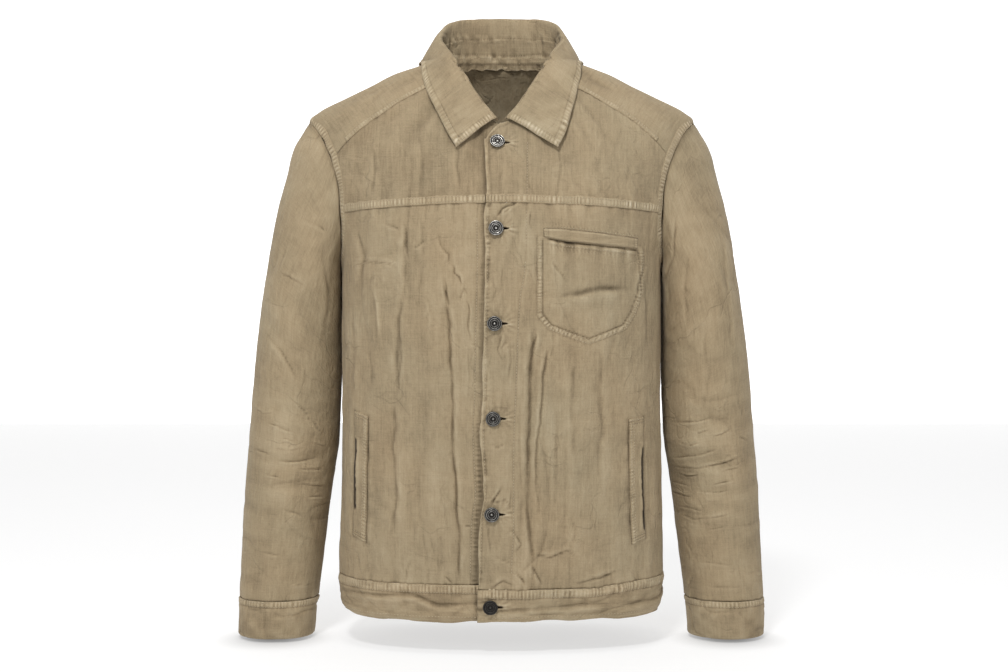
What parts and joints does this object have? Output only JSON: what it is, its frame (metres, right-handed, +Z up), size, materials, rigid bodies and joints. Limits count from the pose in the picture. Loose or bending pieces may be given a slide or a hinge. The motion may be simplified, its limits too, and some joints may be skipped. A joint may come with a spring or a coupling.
{
  "type": "linen jacket",
  "caption": "Button-front linen trucker jacket, filled out with no wearer: turn-down collar, shoulder yoke, chest seam, welt pockets, waistband and cuffed sleeves.",
  "frame": {"origin": "on the jacket's middle line, level with the shoulders' neck points, in the middle of the neck opening", "axes": "+Z up, -Y to the jacket's front, +X to the wearer's left"},
  "size_m": [0.6392, 0.2561, 0.7614],
  "materials": {
    "linen": "matt, washed, slubby plain weave",
    "button_metal": "dark aged gunmetal"
  },
  "bodies": {
    "root": {"front_upper_left": "linen", "front_lower_left": "linen", "front_upper_right": "linen", "front_lower_right": "linen", "back_panel": "linen", "yoke": "linen", "waistband": "linen", "sleeve_left": "linen", "sleeve_right": "linen", "cuff_left": "linen", "cuff_right": "linen", "collar_stand": "linen", "collar_fall": "linen", "chest_pocket_bag": "linen", "chest_welt": "linen", "side_welt_left": "linen", "side_welt_right": "linen", "button_1": "button_metal", "button_2": "button_metal", "button_3": "button_metal", "button_4": "button_metal", "button_5": "button_metal", "button_6": "button_metal"}
  },
  "joints": []
}
